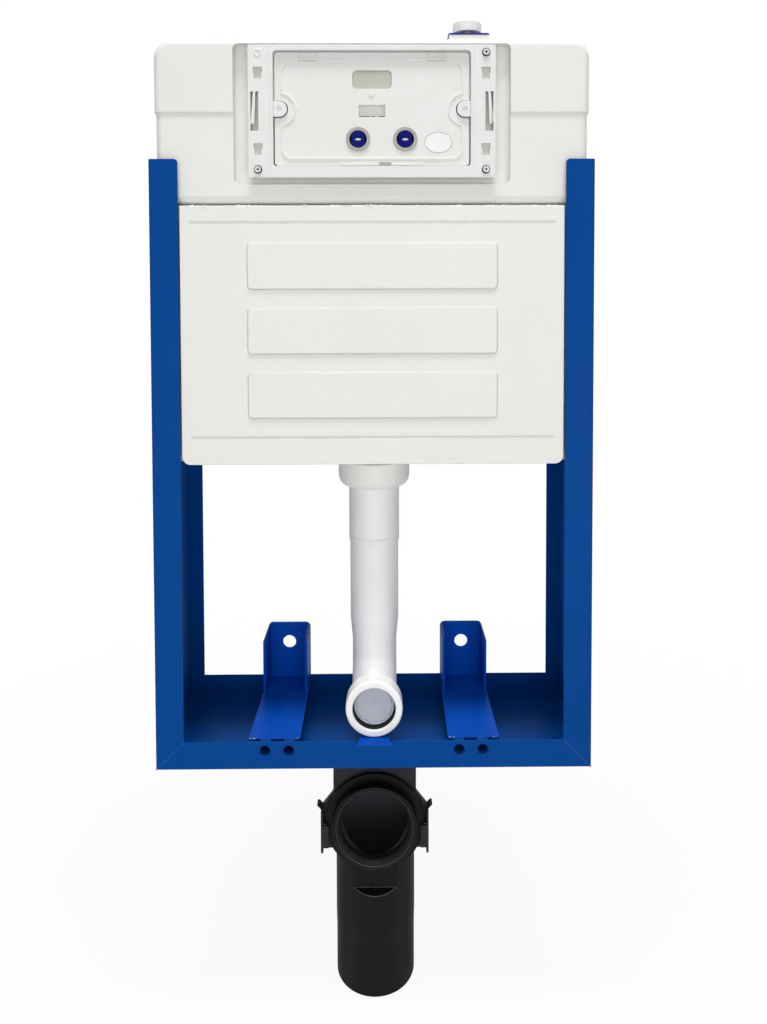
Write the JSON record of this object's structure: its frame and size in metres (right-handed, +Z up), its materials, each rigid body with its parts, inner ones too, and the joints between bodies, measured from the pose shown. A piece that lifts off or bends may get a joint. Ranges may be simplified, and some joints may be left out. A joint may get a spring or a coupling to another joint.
{
  "type": "concealed cistern frame",
  "caption": "Folded steel wall frame carrying a flushing cistern with push rods behind a removable cover, a flush pipe and bend, and a drain bend held in a clip under the rail.",
  "frame": {"origin": "middle of the row of stud holes in the bottom rail, on the frame's front face", "axes": "+X across the frame to the right as seen from the front, +Y back to the wall, +Z up"},
  "size_m": [0.46, 0.1522, 1.0885],
  "materials": {
    "blue_steel": "satin powder coat",
    "zinc_steel": "zinc plated",
    "tank_plastic": "moulded, matt",
    "foam": "moulded bead foam",
    "plate_plastic": "moulded, matt",
    "window_plastic": "moulded, matt",
    "guide_plastic": "moulded, matt",
    "rod_plastic": "moulded, gloss",
    "valve_plastic": "moulded, matt",
    "float_plastic": "moulded, matt",
    "pipe_plastic": "extruded, satin",
    "nut_plastic": "moulded, matt",
    "cap_plastic": "moulded, matt",
    "black_plastic": "moulded, satin",
    "black_rubber": "matt",
    "brass": "turned",
    "knob_plastic": "moulded, matt"
  },
  "bodies": {
    "frame": {"post_left": "blue_steel", "post_right": "blue_steel", "bottom_rail": "blue_steel", "stud_nuts": "zinc_steel", "anchor_bracket_left": "blue_steel", "anchor_bracket_right": "blue_steel", "tank_shelf_left": "blue_steel", "tank_shelf_right": "blue_steel", "tank_body": "tank_plastic", "front_foam_panel": "foam", "plate_frame": "plate_plastic", "plate_frame_screws": "zinc_steel", "rocker_bracket": "valve_plastic", "rocker_pin": "zinc_steel", "valve_seat": "valve_plastic", "valve_basket": "valve_plastic", "inlet_nipple": "brass", "inlet_gasket": "black_rubber", "inlet_locknut": "brass", "stop_valve_body": "brass", "supply_pipe": "valve_plastic", "fill_valve_body": "valve_plastic", "fill_valve_holder": "valve_plastic", "fill_lever_pin": "zinc_steel", "outlet_seal": "black_rubber", "outlet_nut": "nut_plastic", "flush_pipe": "pipe_plastic", "pipe_o_ring": "black_rubber", "flush_bend": "pipe_plastic", "flush_bend_seal": "black_rubber", "drain_bend": "black_plastic", "drain_seal": "black_rubber", "drain_bracket": "black_plastic", "bracket_screws": "zinc_steel"},
    "access_cover": {"access_cover": "plate_plastic", "cover_window": "window_plastic", "rod_guide_left": "guide_plastic", "rod_guide_right": "guide_plastic"},
    "push_rod_left": {"push_rod_left": "rod_plastic"},
    "push_rod_right": {"push_rod_right": "rod_plastic"},
    "rocker_left": {"rocker_lever_left": "valve_plastic"},
    "rocker_right": {"rocker_lever_right": "valve_plastic"},
    "full_lift": {"full_lift_tube": "valve_plastic", "valve_seal": "black_rubber"},
    "half_lift": {"half_lift_float": "float_plastic"},
    "float": {"fill_valve_float": "float_plastic"},
    "float_lever": {"fill_valve_lever": "valve_plastic"},
    "stop_valve_knob": {"stop_valve_knob": "knob_plastic"},
    "inlet_cap": {"inlet_cap": "cap_plastic"},
    "bend_plug": {"bend_plug": "cap_plastic"}
  },
  "joints": [
    {"name": "cover_lift_off", "type": "slide", "parent": "frame", "child": "access_cover", "axis": [0, -1, 0], "range_m": [0, 0.06]},
    {"name": "rod_left_push", "type": "slide", "parent": "access_cover", "child": "push_rod_left", "axis": [0, 1, 0], "range_m": [0, 0.008], "stiffness_N_per_m": 150},
    {"name": "rod_right_push", "type": "slide", "parent": "access_cover", "child": "push_rod_right", "axis": [0, 1, 0], "range_m": [0, 0.008], "stiffness_N_per_m": 150},
    {"name": "rocker_left_turn", "type": "hinge", "parent": "frame", "child": "rocker_left", "pos_m": [-0.01455, 0.046, 0.6683], "axis": [1, 0, 0], "range_deg": [0, 20]},
    {"name": "rocker_right_turn", "type": "hinge", "parent": "frame", "child": "rocker_right", "pos_m": [0.03415, 0.046, 0.6683], "axis": [1, 0, 0], "range_deg": [0, 20]},
    {"name": "full_lift_rise", "type": "slide", "parent": "frame", "child": "full_lift", "axis": [0, 0, 1], "range_m": [0, 0.0115]},
    {"name": "half_lift_rise", "type": "slide", "parent": "frame", "child": "half_lift", "axis": [0, 0, 1], "range_m": [0, 0.0115]},
    {"name": "float_rise", "type": "slide", "parent": "frame", "child": "float", "axis": [0, 0, 1], "range_m": [0, 0.018]},
    {"name": "float_lever_turn", "type": "hinge", "parent": "frame", "child": "float_lever", "pos_m": [0.162, 0.072, 0.698], "axis": [0, -1, 0], "range_deg": [0, 31]},
    {"name": "stop_valve_turn", "type": "hinge", "parent": "frame", "child": "stop_valve_knob", "pos_m": [0.105, 0.0427, 0.7097], "axis": [0, -1, 0], "range_deg": [0, 90]},
    {"name": "inlet_cap_lift_off", "type": "slide", "parent": "frame", "child": "inlet_cap", "axis": [0, 0, 1], "range_m": [0, 0.03]},
    {"name": "plug_pull", "type": "slide", "parent": "frame", "child": "bend_plug", "axis": [0, -1, 0], "range_m": [0, 0.04]}
  ],
  "couplings": [
    {"joint": "rocker_left_turn", "follows": "rod_left_push", "rad_per_m": 43.611},
    {"joint": "full_lift_rise", "follows": "rod_left_push", "ratio": 1.4375},
    {"joint": "rocker_right_turn", "follows": "rod_right_push", "rad_per_m": 43.611},
    {"joint": "half_lift_rise", "follows": "rod_right_push", "ratio": 1.4375},
    {"joint": "float_lever_turn", "follows": "float_rise", "rad_per_m": 30.043}
  ]
}
